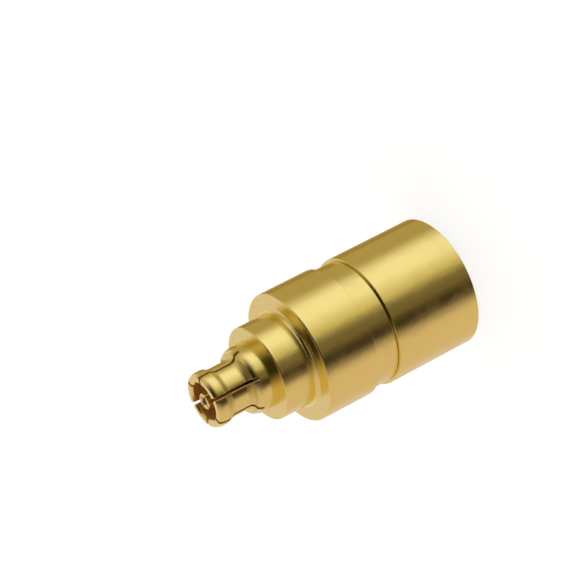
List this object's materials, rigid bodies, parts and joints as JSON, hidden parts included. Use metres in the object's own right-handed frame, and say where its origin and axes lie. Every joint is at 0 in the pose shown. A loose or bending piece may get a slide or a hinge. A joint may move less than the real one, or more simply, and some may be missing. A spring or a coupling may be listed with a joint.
{
  "type": "coaxial termination",
  "caption": "Turned gold-plated coaxial load with a slotted push-on outer contact, a slit centre socket and a closed rear body.",
  "frame": {"origin": "centre of the closed rear face, at the bottom of the bounding box", "axes": "+Z along the turning axis from the closed rear end to the tips of the spring fingers; +X through the middle of one finger slot"},
  "size_m": [0.0074, 0.0074, 0.0157],
  "materials": {
    "rear_body": "bright gold plating with fine turning marks",
    "front_body": "bright gold plating with fine turning marks",
    "outer_contact": "polished gold plating",
    "center_contact": "polished gold plating",
    "contact_bead": "waxy white fluoropolymer",
    "taper_sleeve": "turned brass",
    "ground_plug": "turned brass",
    "resistor_rod": "dark resistive film on fired ceramic",
    "rod_caps": "silver plating"
  },
  "bodies": {
    "root": {"rear_body": "rear_body", "front_body": "front_body", "outer_contact": "outer_contact", "center_contact": "center_contact", "contact_bead": "contact_bead", "taper_sleeve": "taper_sleeve", "ground_plug": "ground_plug", "resistor_rod": "resistor_rod", "rod_front_cap": "rod_caps", "rod_rear_cap": "rod_caps"}
  },
  "joints": []
}
